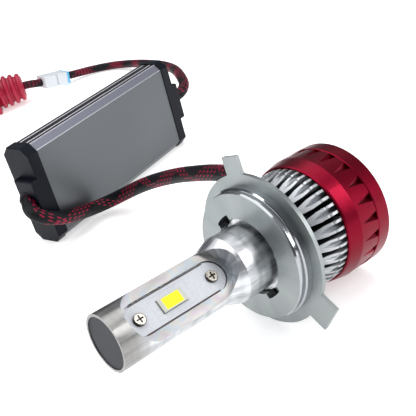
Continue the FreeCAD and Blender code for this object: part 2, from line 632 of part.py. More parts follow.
def end_cap(label, flip):
    """Moulded end with a block round its cable hole and a spigot inside the sleeve."""
    rim = prism(box_outline(size("end_rim"), -size("end_thick")), Vector(size("end_thick"), 0, 0))
    face = [edge for edge in rim.Edges
            if abs(edge.CenterOfMass.x + size("end_thick")) < 0.01]
    rim = rim.makeFillet(size("end_edge"), face)
    inner = -size("box_wall") - size("end_gap")
    spigot = prism(box_outline(inner, -0.01), Vector(size("end_spigot"), 0, 0))
    hollow = prism(box_outline(inner - 1.2, -size("end_thick") + 1.4),
                   Vector(size("end_spigot") + size("end_thick"), 0, 0))
    block = Part.makeBox(size("block_depth") + 0.5, size("block_thick"), size("block_height"),
                         Vector(-size("end_thick") - size("block_depth"), -size("end_rim"),
                                (size("box_height") - size("block_height")) / 2))
    edges = [edge for edge in block.Edges
             if edge.CenterOfMass.x < -size("end_thick") - size("block_depth") + 0.01]
    block = block.makeFillet(size("end_edge"), edges)
    mouth, out = cable_mouth()
    hole = Part.makeCylinder(size("cable_radius") + size("grommet_gap"), 24, mouth - out * 12, out)
    solid = rim.fuse(spigot).cut(hollow).fuse(block).cut(hole).removeSplitter()
    piece(label, end_frame(flip), feature(label + "_shape", solid))


def end_frame(flip):
    """The lamp end's own frame, or the same frame turned over for the plug's end."""
    if not flip:
        return DRIVER
    turn = Placement(Vector(size("box_length"), 0, size("box_height")),
                     Rotation(Vector(0, 1, 0), 180))
    return DRIVER.multiply(turn)


def cable_mouth():
    """Middle of the cable hole in the block's face, and the way the cable points there."""
    mouth = Vector(-size("end_thick") - size("block_depth"), size("hole_place"),
                   size("box_height") / 2)
    turn, dip = math.radians(size("mouth_turn")), math.radians(size("mouth_dip"))
    out = Vector(-math.cos(turn) * math.cos(dip), -math.sin(turn) * math.cos(dip),
                 -math.sin(dip))
    return mouth, out


def grommet(label, flip):
    """Rubber bush in an end cap's hole, where the cable comes out."""
    mouth, out = cable_mouth()
    start = mouth - out * size("grommet_length")
    bush = Part.makeCylinder(size("cable_radius") + size("grommet_gap"),
                             size("grommet_length"), start, out)
    bush = bush.cut(Part.makeCylinder(size("bush_bore"), size("grommet_length"), start, out))
    piece(label, end_frame(flip), feature(label + "_shape", bush))


def driver_board():
    """Circuit board and what stands on it, inside the sleeve."""
    board = box("pcb", "box_length - 2 * pcb_margin", "pcb_thick", "pcb_height",
                "pcb_margin", "pcb_place", "box_height / 2 - pcb_height / 2")
    piece("driver_circuit_board", DRIVER, board)
    face = size("pcb_place") + size("pcb_thick")
    middle = size("box_height") / 2
    rod = turned([(0, 0), (size("coil_radius"), 0), (size("coil_radius"), 0.9),
                  (size("coil_radius") - 1.6, 1.3), (size("coil_radius") - 1.6, size("coil_height") - 1.3),
                  (size("coil_radius"), size("coil_height") - 0.9),
                  (size("coil_radius"), size("coil_height")), (0, size("coil_height"))])
    rod.Placement = Placement(Vector(size("coil_place"), face, middle),
                              Rotation(Vector(1, 0, 0), -90))
    piece("driver_inductor", DRIVER, feature("inductor_shape", rod))
    cans = []
    for side in (-1, 1):
        can = Part.makeCylinder(size("can_radius"), size("can_length"),
                                Vector(size("can_place"), face + size("can_radius"),
                                       middle + side * size("can_radius") * 1.4),
                                Vector(1, 0, 0))
        cans.append(can)
    piece("driver_capacitors", DRIVER, feature("capacitor_group", Part.makeCompound(cans)))
    chips = [Part.makeBox(size("chip_length"), size("chip_height"), size("chip_width"),
                          Vector(size("chip_place"), face, middle + offset))
             for offset in (-size("chip_width") - 2, 2)]
    piece("driver_transistors", DRIVER, feature("chip_group", Part.makeCompound(chips)))


# ---------------------------------------------------------------- leads, connector, plug
def lamp_cable_route():
    """From the gland, down to the surface, along the box's foot and up into its end."""
    start, direction = gland_frame()
    exit_point = LAMP.multVec(start + direction * size("gland_outer"))
    direction = LAMP.Rotation.multVec(direction)
    mouth, out = cable_mouth()
    arrival, out = DRIVER.multVec(mouth), DRIVER.Rotation.multVec(out)
    middle = [(-12.6, -19.6, 12.6), (-14.2, -25.4, 10.7), (-15.5, -33.5, 8.6),
              (-17.0, -43.5, 5.4), (-18.4, -54.0, 2.0), (-19.4, -65.5, -2.2),
              (-19.8, -76.8, -6.6), (-19.2, -86.0, -10.6), (-17.6, -92.4, -13.6),
              (-14.6, -97.3, -15.8), (-9.8, -100.0, -16.6), (-4.2, -99.7, -15.6),
              (1.6, -97.2, -13.4), (7.6, -94.4, -10.8), (13.4, -93.4, -7.8),
              (17.4, -95.8, -5.2)]
    return [tuple(exit_point), tuple(exit_point + direction * 5)] + middle + [
        tuple(arrival + out * 4.4), tuple(arrival)]


def supply_lead_route():
    """From the box's far end, down to the surface and round to the connector."""
    mouth, out = cable_mouth()
    start = end_frame(True).multVec(mouth)
    out = end_frame(True).Rotation.multVec(out)
    middle = [(-78.4, -124.1, 0.0), (-82.9, -127.8, 1.0), (-87.0, -134.4, 1.5),
              (-94.0, -146.0, 0.7), (-103.4, -163.0, -2.2), (-113.4, -186.0, -6.2),
              (-122.0, -209.0, -10.6), (-129.4, -231.0, -14.8), (-133.4, -249.0, -17.8),
              (-131.2, -264.0, -18.9), (-122.0, -274.6, -18.8)]
    into = LINK.Rotation.multVec(Vector(-8, 0, 0))
    return [tuple(start), tuple(start + out * 2.8)] + middle + [
        tuple(LINK.Base + into), tuple(LINK.Base)]


LINK = Placement(Vector(-102.8, -278.3, TABLE + 5.0),
                 Rotation(Vector(0, 0, 1), -2).multiply(Rotation(Vector(0, 1, 0), -9)))
PLUG = Placement(Vector(-74.5, -280.5, TABLE + size("plug_height") / 2),
                 Rotation(Vector(0, 0, 1), -25))


def plug_lead_route():
    """The short lead between the connector and the plug."""
    start = LINK.multVec(Vector(2 * size("link_length") + size("link_gap"), 0, 0))
    out = LINK.Rotation.multVec(Vector(3, 0, 0))
    into = PLUG.Rotation.multVec(Vector(-3, 0, 0))
    return [tuple(start), tuple(start + out), tuple(PLUG.Base + into), tuple(PLUG.Base)]


def leads():
    world = Placement()
    piece("lamp_cable", world, feature("lamp_cable_tube", tube_along(
        lamp_cable_route(), size("cable_radius"), "lamp_cable")))
    piece("supply_lead", world, feature("supply_lead_tube", tube_along(
        supply_lead_route(), size("lead_radius"), "supply_lead")))
    piece("plug_lead", world, feature("plug_lead_tube", tube_along(
        plug_lead_route(), size("lead_radius"), "plug_lead")))


def connector():
    """Two white nylon housings, one pushed into the other."""
    length, width, height = size("link_length"), size("link_width"), size("link_height")
    rear = Part.makeBox(length, width, height, Vector(0, -width / 2, -height / 2))
    rear = rear.makeFillet(0.8, rear.Edges)
    wide, high = width - 2 * size("link_wall"), height - 2 * size("link_wall")
    slim, low = wide - 2 * size("neck_gap"), high - 2 * size("neck_gap")
    nose = Part.makeBox(size("link_neck"), slim, low,
                        Vector(length - 0.01, -slim / 2, -low / 2))
    piece("connector_plug_half", LINK, feature("link_nose_shape", rear.fuse(nose)))
    socket = Part.makeBox(length, width, height,
                          Vector(length + size("link_gap"), -width / 2, -height / 2))
    socket = socket.makeFillet(0.8, socket.Edges)
    mouth = Part.makeBox(size("link_neck") + size("link_gap"), wide, high,
                         Vector(length, -wide / 2, -high / 2))
    piece("connector_socket_half", LINK, feature("link_socket_shape", socket.cut(mouth)))


def rounded_block(length, width, height, start, corner):
    """A bar along local X with its four long edges rounded."""
    bar = Part.makeBox(length, width, height, Vector(start, -width / 2, -height / 2))
    edges = [edge for edge in bar.Edges if abs(edge.tangentAt(edge.FirstParameter).x) > 0.9]
    return bar.makeFillet(corner, edges)


def plug():
    """Ribbed boot, moulded body and three flat blades, as an H4 lamp base has."""
    boot_width, boot_height = size("boot_width"), size("boot_height")
    groove = size("rib_groove")
    core = rounded_block(size("boot_length"), boot_width - 2 * groove,
                         boot_height - 2 * groove, 0, boot_height * 0.3)
    pitch = size("boot_length") / size("rib_count")
    ribs = [rounded_block(pitch * 0.55, boot_width, boot_height, pitch * (step + 0.1),
                          boot_height * 0.36) for step in range(int(size("rib_count")))]
    piece("plug_boot", PLUG, feature("boot_shape", core.fuse(ribs)))
    body = rounded_block(size("plug_length"), size("plug_width"), size("plug_height"),
                         size("boot_length"), 3)
    front = size("boot_length") + size("plug_length")
    root, length = front - size("blade_root"), size("blade_length") + size("blade_root")
    sheet_thick, width = size("blade_sheet"), size("blade_width")
    side = size("plug_width") / 2 - size("blade_edge")
    top = size("plug_height") / 2 - size("blade_edge")
    low = top - width - 2 * sheet_thick
    blades = {
        "plug_blade_left": Part.makeBox(length, sheet_thick, width, Vector(root, -side, low)),
        "plug_blade_right": Part.makeBox(length, sheet_thick, width,
                                         Vector(root, side - sheet_thick, low)),
        "plug_blade_top": Part.makeBox(length, width, sheet_thick,
                                       Vector(root, -width / 2, top)),
    }
    piece("plug_body", PLUG, feature("plug_body_shape", body.cut(list(blades.values()))))
    for label, blade in blades.items():
        edges = [edge for edge in blade.Edges if edge.CenterOfMass.x > root + length - 0.01
                 and edge.Length > 2 * sheet_thick]
        piece(label, PLUG, feature(label + "_shape", blade.makeChamfer(0.25, edges)))


def main():
    for build in (lamp_body, boards, board_screws, body_pins, cap, cap_seal, heat_sink,
                  cable_gland, shroud, fan_frame, fan_motor, fan_rotor, driver_sleeve,
                  driver_board, leads, connector, plug):
        build()
    end_cap("driver_end_lamp", False)
    end_cap("driver_end_plug", True)
    grommet("grommet_lamp", False)
    grommet("grommet_plug", True)
    doc.recompute()
    for obj in doc.Objects:
        if "Invalid" in obj.State or "Error" in obj.State:
            raise RuntimeError("%s did not build: %s" % (obj.Name, obj.State))
    for obj in pieces:
        if obj.Shape.isNull() or not obj.Shape.isValid() or not obj.Shape.Solids:
            raise RuntimeError(obj.Label + " has no valid solid")
    os.makedirs("parts", exist_ok=True)
    for obj in pieces:
        obj.Shape.exportStep("parts/%s.step" % obj.Label)
        print("%-24s solids %d volume %.1f" % (obj.Label, len(obj.Shape.Solids),
                                               obj.Shape.Volume))


main()
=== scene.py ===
import math

import bpy
import bmesh
from mathutils import Euler, Matrix, Vector


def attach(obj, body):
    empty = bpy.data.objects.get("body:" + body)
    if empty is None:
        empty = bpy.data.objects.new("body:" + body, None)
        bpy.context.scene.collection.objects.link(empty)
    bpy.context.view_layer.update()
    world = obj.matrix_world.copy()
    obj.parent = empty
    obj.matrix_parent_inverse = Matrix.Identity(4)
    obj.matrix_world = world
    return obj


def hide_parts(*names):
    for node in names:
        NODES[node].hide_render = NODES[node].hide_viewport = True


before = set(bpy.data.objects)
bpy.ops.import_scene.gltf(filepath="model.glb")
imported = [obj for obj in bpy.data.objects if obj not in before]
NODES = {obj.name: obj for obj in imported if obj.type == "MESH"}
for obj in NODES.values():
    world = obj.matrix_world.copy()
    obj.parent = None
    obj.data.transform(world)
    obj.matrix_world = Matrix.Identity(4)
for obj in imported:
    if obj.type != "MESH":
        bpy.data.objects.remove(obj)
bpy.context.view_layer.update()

MM = 0.001

# The lamp's own axes: local Z runs to the tip, local X is square to the front LED board.
LAMP_TILT = 84.629
BOARD_TURN = 138.3
TABLE = -0.021514
FLAT_HEIGHT = 3.0 * MM         # the milled flats, from the axis
BOARD_FACE = 2.53 * MM         # just under the boards' outer faces, from the axis
LED_MIDDLE = 31.0 * MM         # the LEDs' place along the axis
LED_HALF = (1.8 * MM, 3.6 * MM)
SCREW_TOP = 3.3 * MM           # just under the screw heads' tops, from the axis
BOSS_SIDE = 17.3 * MM          # just inside the cap boss's side, from the axis
BOSS_ENDS = (0.08 * MM, 4.05 * MM)
# The driver box's own axes: local X runs along it from the lamp's end, local Y is its thickness.
BOX_PLACE = Vector((0.007, -0.1003, TABLE + 0.00035))
BOX_TURN = 194.08
CORNER_LOW, CORNER_HIGH = 36.0 * MM, 38.65 * MM     # the cut corners' edges, above its foot
# The plug's and the connector's places, each with its local X out along the lead.
PLUG_PLACE = (Matrix.Translation((-0.0745, -0.2805, TABLE + 0.0098))
              @ Matrix.Rotation(math.radians(-25), 4, "Z"))
LINK_PLACE = (Matrix.Translation((-0.1028, -0.2783, TABLE + 0.005))
              @ Matrix.Rotation(math.radians(-2), 4, "Z")
              @ Matrix.Rotation(math.radians(-9), 4, "Y"))

# ------------------------------------------------------------------------------- camera
camera_data = bpy.data.cameras.new("studio_camera")
camera_data.lens = 60.3
camera_data.sensor_width = 36
camera_data.clip_start = 0.005
camera_data.clip_end = 20
camera = bpy.data.objects.new("studio_camera", camera_data)
camera.location = (0.0982, 0.12208, 0.09884)
camera.rotation_euler = Euler([math.radians(a) for a in (61.2846, 13.3577, 137.6876)])
bpy.context.scene.collection.objects.link(camera)
bpy.context.scene.camera = camera


# ------------------------------------------------------------------- colours and nodes
def linear(text, alpha=1.0):
    """An sRGB hex colour as the linear values that Blender works in."""
    values = [int(text[start:start + 2], 16) / 255 for start in (1, 3, 5)]
    return [v / 12.92 if v <= 0.04045 else ((v + 0.055) / 1.055) ** 2.4 for v in values] + [alpha]


def add_node(tree, kind, *inputs, out=0, stops=(), **settings):
    """One node with its settings, its inputs set or linked, and a colour ramp's stops.

    Inputs come in the node's own order, or as one dictionary of sockets.  The result is the
    output named or numbered by out, or all the outputs where out is None.
    """
    node = tree.nodes.new("ShaderNode" + kind)
    for name, value in settings.items():
        setattr(node, name, value)
    filled = inputs[0] if inputs and isinstance(inputs[0], dict) else dict(enumerate(inputs))
    for name, value in filled.items():
        if isinstance(value, bpy.types.NodeSocket):
            tree.links.new(value, node.inputs[name])
        else:
            node.inputs[name].default_value = value
    while stops and len(node.color_ramp.elements) < len(stops):
        node.color_ramp.elements.new(0.5)
    for number, (place, colour) in enumerate(stops):
        node.color_ramp.elements[number].position = place
        node.color_ramp.elements[number].color = colour
    return node.outputs if out is None else node.outputs[out]


def start_material(name, **values):
    """A material with its main shader, whose even values are set on its own sockets."""
    material = bpy.data.materials.new(name)
    material.use_nodes = True
    shader = material.node_tree.nodes["Principled BSDF"]
    for key, value in values.items():
        shader.inputs[key.replace("_", " ")].default_value = value
    material.diffuse_color = shader.inputs["Base Color"].default_value
    return material, material.node_tree, shader


def lamp_place(tree):
    """Object coordinates turned into the lamp's own axes."""
    spot = add_node(tree, "TexCoord", out="Object")
    return add_node(tree, "Mapping", {"Vector": spot, "Rotation": (
        0.0, math.radians(-LAMP_TILT), math.radians(-BOARD_TURN))})


def piece_place(tree, place, turn):
    """Object coordinates turned into the axes of a piece that stands at a place and turn."""
    spot = add_node(tree, "TexCoord", out="Object")
    return add_node(tree, "Mapping", {
        "Vector": spot, "Location": place, "Rotation": turn}, vector_type="TEXTURE")


def around(tree, vector):
    """Distance from the axis, angle round it and height along it."""
    x, y, z = add_node(tree, "SeparateXYZ", vector, out=None)
    radius = add_node(
        tree, "Math",
        add_node(
            tree, "Math", add_node(tree, "Math", x, x, operation="MULTIPLY"),
            add_node(tree, "Math", y, y, operation="MULTIPLY"), operation="ADD"),
        operation="SQRT")
    return radius, add_node(tree, "Math", y, x, operation="ARCTAN2"), z


def fill_socket(tree, shader, name, value):
    tree.links.new(value, shader.inputs[name])


# ------------------------------------------------------------------------ the materials
def turned_aluminium():
    """Aluminium bar turned on a lathe: fine rings, with painted highlight streaks, painted darker
    bands and a painted shade by the tip.
    """
    material, tree, shader = start_material(
        "turned_aluminium", Base_Color=linear("#D3D6D9"), Metallic=1.0, Roughness=0.26)
    place = lamp_place(tree)
    radius, angle, height = around(tree, place)
    x = add_node(tree, "SeparateXYZ", place)
    along = add_node(tree, "Math", height, radius, operation="ADD")
    # Tool marks 0.18 mm apart.
    rings = add_node(
        tree, "TexNoise", {"W": along, "Scale": 5500.0, "Detail": 2.0}, noise_dimensions="1D")
    # Slow bands 2.4 mm wide, in the bump and, as painted darker bands of reflection, in the
    # colour.
    bands = add_node(
        tree, "TexNoise", {"W": along, "Scale": 420.0, "Detail": 1.0}, noise_dimensions="1D")
    wedge = add_node(
        tree, "CombineXYZ", {
            0: add_node(tree, "Math", angle, 0.006, operation="MULTIPLY"),
            1: add_node(tree, "Math", height, 0.12, operation="MULTIPLY")})
    # Streaks 1.4 mm long round the bar, drawn out along it; they vary the roughness and paint
    # highlights into the colour.
    streaks = add_node(tree, "TexNoise", {"Vector": wedge, "Scale": 700.0, "Detail": 3.0})
    # The milled flats lie 3 mm each side of the axis and keep a faint rainbow film.
    flat = add_node(
        tree, "Math",
        add_node(
            tree, "Math",
            add_node(
                tree, "Math", add_node(tree, "Math", x, operation="ABSOLUTE"), FLAT_HEIGHT,
                operation="SUBTRACT"), operation="ABSOLUTE"), 0.05 * MM, operation="LESS_THAN")
    film = add_node(
        tree, "ValToRGB",
        add_node(tree, "TexNoise", {"Vector": place, "Scale": 260.0, "Detail": 2.0}),
        stops=(
            (0.3, linear("#AFACAF")), (0.45, linear("#A5ADB4")), (0.55, linear("#B1AFAA")),
            (0.68, linear("#ADA5AC"))))
    # Painted highlight streaks: the metal's colour runs from grey to near white with the streaks.
    metal = add_node(
        tree, "ValToRGB", streaks,
        stops=((0.3, linear("#A3A6AA")), (0.5, linear("#CFD1D4")), (0.7, linear("#F2F3F4"))))
    # Painted reflection bands: the slow bands darken the colour towards #92969A.
    metal = add_node(
        tree, "Mix", {
            0: add_node(tree, "MapRange", bands, 0.45, 0.7, 0.0, 0.35), 6: metal,
            7: linear("#92969A")}, out=2, data_type="RGBA")
    # Painted shade: the last 8 mm by the tip is darkened towards a dull brownish grey.
    tip_shade = add_node(tree, "MapRange", height, 40.0 * MM, 46.0 * MM, 0.0, 0.75)
    metal = add_node(
        tree, "Mix", {0: tip_shade, 6: metal, 7: linear("#77746F")}, out=2, data_type="RGBA")
    fill_socket(
        tree, shader, "Base Color",
        add_node(tree, "Mix", {0: flat, 6: metal, 7: film}, out=2, data_type="RGBA"))
    rough = add_node(
        tree, "Math", add_node(tree, "MapRange", streaks, 0.3, 0.7, 0.24, 0.42),
        add_node(tree, "Math", flat, 0.14, operation="MULTIPLY"), operation="ADD")
    fill_socket(tree, shader, "Roughness", rough)
    line = add_node(
        tree, "Math", rings, add_node(tree, "Math", bands, 0.7, operation="MULTIPLY"),
        operation="ADD")
    height_map = add_node(
        tree, "Math", line, add_node(tree, "Math", 1.0, flat, operation="SUBTRACT"),
        operation="MULTIPLY")
    fill_socket(
        tree, shader, "Normal",
        add_node(tree, "Bump", {"Height": height_map, "Distance": 0.02 * MM, "Strength": 0.8}))
    return material


def cap_metal():
    """Turned cap, plated: satin faces with painted sweeps of light and shade, and a polished rim
    that shows dark and light bands.
    """
    material, tree, shader = start_material(
        "plated_cap_metal", Base_Color=linear("#CBCFCF"), Metallic=1.0, Roughness=0.4)
    radius, angle, height = around(tree, lamp_place(tree))
    side = add_node(
        tree, "Math", add_node(tree, "Math", radius, BOSS_SIDE, operation="GREATER_THAN"),
        add_node(tree, "Math", height, BOSS_ENDS[0], operation="GREATER_THAN"),
        operation="MULTIPLY")
    side = add_node(
        tree, "Math", side, add_node(tree, "Math", height, BOSS_ENDS[1], operation="LESS_THAN"),
        operation="MULTIPLY")
    # Tool marks 0.24 mm apart.
    rings = add_node(
        tree, "TexNoise", {
            "W": add_node(tree, "Math", height, radius, operation="ADD"), "Scale": 4200.0,
            "Detail": 2.0}, noise_dimensions="1D")
    wedge = add_node(
        tree, "CombineXYZ", {
            0: add_node(tree, "Math", angle, 0.02, operation="MULTIPLY"),
            1: add_node(tree, "Math", radius, 0.1, operation="MULTIPLY")})
    # Sweeps 11 mm across, as wide as a finger: they vary the satin faces' roughness and paint
    # highlight and shade into their colour.
    sweep = add_node(tree, "TexNoise", {"Vector": wedge, "Scale": 90.0, "Detail": 2.0})
    rough = add_node(
        tree, "Mix", {
            0: side, 6: add_node(tree, "MapRange", sweep, 0.3, 0.7, 0.34, 0.46),
            7: add_node(tree, "MapRange", rings, 0.3, 0.7, 0.06, 0.16)}, out=2, data_type="RGBA")
    fill_socket(tree, shader, "Roughness", rough)
    # Painted light and shade: the sweeps lighten and darken the satin faces' colour; the polished
    # side stays one colour.
    fill_socket(
        tree, shader, "Base Color",
        add_node(
            tree, "Mix", {
                0: side,
                6: add_node(
                    tree, "ValToRGB", sweep,
                    stops=((0.3, linear("#8B9192")), (0.7, linear("#A2A7A7")))),
                7: linear("#A9ACB0")}, out=2, data_type="RGBA"))
    fill_socket(
        tree, shader, "Normal",
        add_node(tree, "Bump", {"Height": rings, "Distance": 0.006 * MM, "Strength": 0.6}))
    return material


def cast_sink_aluminium():
    """Forged heat sink, with painted shade: lighter at the fin tips and darker down between the
    fins.
    """
    material, tree, shader = start_material(
        "forged_sink_aluminium", Base_Color=linear("#B4B8BB"), Metallic=1.0, Roughness=0.38)
    place = lamp_place(tree)
    radius = around(tree, place)[0]
    # Forging grain 0.4 mm across.
    grain = add_node(tree, "TexNoise", {"Vector": place, "Scale": 2600.0, "Detail": 3.0})
    # Painted shade: the colour darkens from the fin tips in towards the core between the fins,
    # with the forging grain mixed in.
    fin_shade_and_grain = add_node(tree, "MapRange", radius, 10.5 * MM, 16.5 * MM, 0.0, 1.0)
    fin_shade_and_grain = add_node(
        tree, "Math", fin_shade_and_grain,
        add_node(
            tree, "Math", add_node(tree, "Math", grain, 0.5, operation="SUBTRACT"), 0.25,
            operation="MULTIPLY"), operation="ADD")
    fill_socket(
        tree, shader, "Base Color",
        add_node(
            tree, "ValToRGB", fin_shade_and_grain,
            stops=(
                (0.0, linear("#34383D")), (0.5, linear("#73777C")), (0.95, linear("#C4C7CA")))))
    fill_socket(tree, shader, "Roughness", add_node(tree, "MapRange", grain, 0.3, 0.7, 0.4, 0.58))
    fill_socket(
        tree, shader, "Normal",
        add_node(tree, "Bump", {"Height": grain, "Distance": 0.03 * MM, "Strength": 0.5}))
    return material


def red_anodising():
    """Aluminium dyed red in the anodising bath: deep red metal with a fine blasted grain."""
    material, tree, shader = start_material(
        "red_anodised_aluminium", Base_Color=linear("#8E0826"), Metallic=1.0, Roughness=0.34,
        Coat_Weight=0.06, Coat_Roughness=0.25)
    place = lamp_place(tree)
    height = around(tree, place)[2]
    # Blasted grain 0.2 mm across, coarser than life so that it shows.
    grain = add_node(tree, "TexNoise", {"Vector": place, "Scale": 5200.0, "Detail": 2.0})
    # Turned rings 0.33 mm apart under the dye.
    rings = add_node(
        tree, "TexNoise", {"W": height, "Scale": 3000.0, "Detail": 1.0}, noise_dimensions="1D")
    fill_socket(
        tree, shader, "Base Color",
        add_node(
            tree, "ValToRGB", grain, stops=((0.3, linear("#69061D")), (0.7, linear("#870926")))))
    fill_socket(tree, shader, "Roughness", add_node(tree, "MapRange", rings, 0.3, 0.7, 0.28, 0.4))
    fill_socket(
        tree, shader, "Normal",
        add_node(
            tree, "Bump", {
                "Height": add_node(tree, "Math", grain, rings, operation="ADD"),
                "Distance": 0.006 * MM, "Strength": 0.6}))
    return material


def sleeve_anodising():
    """Extruded sleeve, blasted and anodised grey: even satin with faint drawing lines."""
    material, tree, shader = start_material(
        "grey_anodised_extrusion", Base_Color=linear("#64686B"), Metallic=0.75, Roughness=0.42)
    place = piece_place(tree, BOX_PLACE, (0.0, 0.0, math.radians(BOX_TURN)))
    x, y, z = add_node(tree, "SeparateXYZ", place, out=None)
    # Blasted grain 0.15 mm across.
    grain = add_node(tree, "TexNoise", {"Vector": place, "Scale": 6500.0, "Detail": 2.0})
    across = add_node(
        tree, "CombineXYZ",
        {0: add_node(tree, "Math", x, 0.02, operation="MULTIPLY"), 1: y, 2: z})
    # Die lines 0.4 mm apart that run along the sleeve.
    drawn = add_node(tree, "TexNoise", {"Vector": across, "Scale": 2400.0, "Detail": 2.0})
    # Slow change of the dye, 36 mm across.
    cloud = add_node(tree, "TexNoise", {"Vector": place, "Scale": 28.0, "Detail": 1.0})
    face = add_node(
        tree, "ValToRGB", cloud, stops=((0.2, linear("#606467")), (0.8, linear("#676B6E"))))
    # The cut corners and the top are smoother; the corners carry a painted highlight and the top a
    # painted shade.
    corner = add_node(
        tree, "Math", add_node(tree, "Math", z, CORNER_LOW, operation="GREATER_THAN"),
        add_node(tree, "Math", z, CORNER_HIGH, operation="LESS_THAN"), operation="MULTIPLY")
    top = add_node(tree, "Math", z, CORNER_HIGH, operation="GREATER_THAN")
    # Each cut corner is 2.65 mm wide and is bounded by two painted highlight lines 0.25 mm wide.
    rim = add_node(
        tree, "Math",
        add_node(
            tree, "Math", add_node(tree, "Math", z, 37.33 * MM, operation="SUBTRACT"),
            operation="ABSOLUTE"), 1.08 * MM, operation="GREATER_THAN")
    chamfer_highlight = add_node(
        tree, "Mix", {0: rim, 6: linear("#8D8E9B"), 7: linear("#D6D6DE")}, out=2,
        data_type="RGBA")
    colour = add_node(tree, "Mix", {0: corner, 6: face, 7: chamfer_highlight}, out=2, data_type="RGBA")
    # Painted shade: the top face is coloured nearly black.
    colour = add_node(
        tree, "Mix", {0: top, 6: colour, 7: linear("#332E30")}, out=2, data_type="RGBA")
    fill_socket(tree, shader, "Base Color", colour)
    rough = add_node(
        tree, "Math", add_node(tree, "MapRange", grain, 0.3, 0.7, 0.36, 0.46),
        add_node(tree, "Math", top, -0.14, operation="MULTIPLY"), operation="ADD")
    fill_socket(tree, shader, "Roughness", rough)
    fill_socket(
        tree, shader, "Normal",
        add_node(
            tree, "Bump", {
                "Height": add_node(tree, "Math", grain, drawn, operation="ADD"),
                "Distance": 0.008 * MM, "Strength": 0.6}))
    return material


def moulded_plastic(name, colour, light, roughness, grain_size=0.12, bump=0.012, shine=0.5):
    """Injection-moulded plastic with the fine texture that its mould leaves."""
    material, tree, shader = start_material(
        name, Base_Color=linear(colour), Roughness=roughness, IOR=1.5,
        Specular_IOR_Level=shine)
    grain = add_node(
        tree, "TexNoise", {
            "Vector": add_node(tree, "TexCoord", out="Object"), "Scale": 1.0 / (grain_size * MM),
            "Detail": 3.0})
    cloud = add_node(
        tree, "TexNoise",
        {"Vector": add_node(tree, "TexCoord", out="Object"), "Scale": 90.0, "Detail": 2.0})
    fill_socket(
        tree, shader, "Base Color",
        add_node(tree, "ValToRGB", cloud, stops=((0.3, linear(colour)), (0.75, linear(light)))))
    fill_socket(
        tree, shader, "Roughness",
        add_node(tree, "MapRange", grain, 0.3, 0.7, roughness - 0.07, roughness + 0.07))
    fill_socket(
        tree, shader, "Normal",
        add_node(tree, "Bump", {"Height": grain, "Distance": bump * MM, "Strength": 0.6}))
    return material


def plain_metal(name, colour, light, roughness, lines=3000.0):
    """A small metal part with a fine drawn or stamped surface."""
    material, tree, shader = start_material(
        name, Base_Color=linear(colour), Metallic=1.0, Roughness=roughness)
    marks = add_node(
        tree, "TexNoise",
        {"Vector": add_node(tree, "TexCoord", out="Object"), "Scale": lines, "Detail": 3.0})
    fill_socket(
        tree, shader, "Base Color",
        add_node(tree, "ValToRGB", marks, stops=((0.3, linear(colour)), (0.7, linear(light)))))
    fill_socket(
        tree, shader, "Roughness",
        add_node(tree, "MapRange", marks, 0.3, 0.7, roughness - 0.06, roughness + 0.08))
    fill_socket(
        tree, shader, "Normal",
        add_node(tree, "Bump", {"Height": marks, "Distance": 0.006 * MM, "Strength": 0.5}))
    return material


def screw_steel():
    """Nickel-plated screw heads: bright tops, and painted shade in the cross-shaped recess."""
    material, tree, shader = start_material(
        "nickel_plated_steel", Base_Color=linear("#9A958D"), Metallic=1.0, Roughness=0.24)
    place = lamp_place(tree)
    # Plating marks 1.1 mm across.
    marks = add_node(tree, "TexNoise", {"Vector": place, "Scale": 900.0, "Detail": 2.0})
    # The heads' tops lie 3.41 mm from the axis and the recess floors 0.43 mm lower; everything
    # below the tops is painted nearly black as shade.
    low = add_node(
        tree, "Math",
        add_node(tree, "Math", add_node(tree, "SeparateXYZ", place), operation="ABSOLUTE"),
        SCREW_TOP, operation="LESS_THAN")
    top = add_node(
        tree, "ValToRGB", marks, stops=((0.3, linear("#8A857D")), (0.7, linear("#B4AFA6"))))
    fill_socket(
        tree, shader, "Base Color",
        add_node(tree, "Mix", {0: low, 6: top, 7: linear("#2C2926")}, out=2, data_type="RGBA"))
    fill_socket(
        tree, shader, "Roughness", add_node(tree, "MapRange", marks, 0.3, 0.7, 0.18, 0.32))
    return material


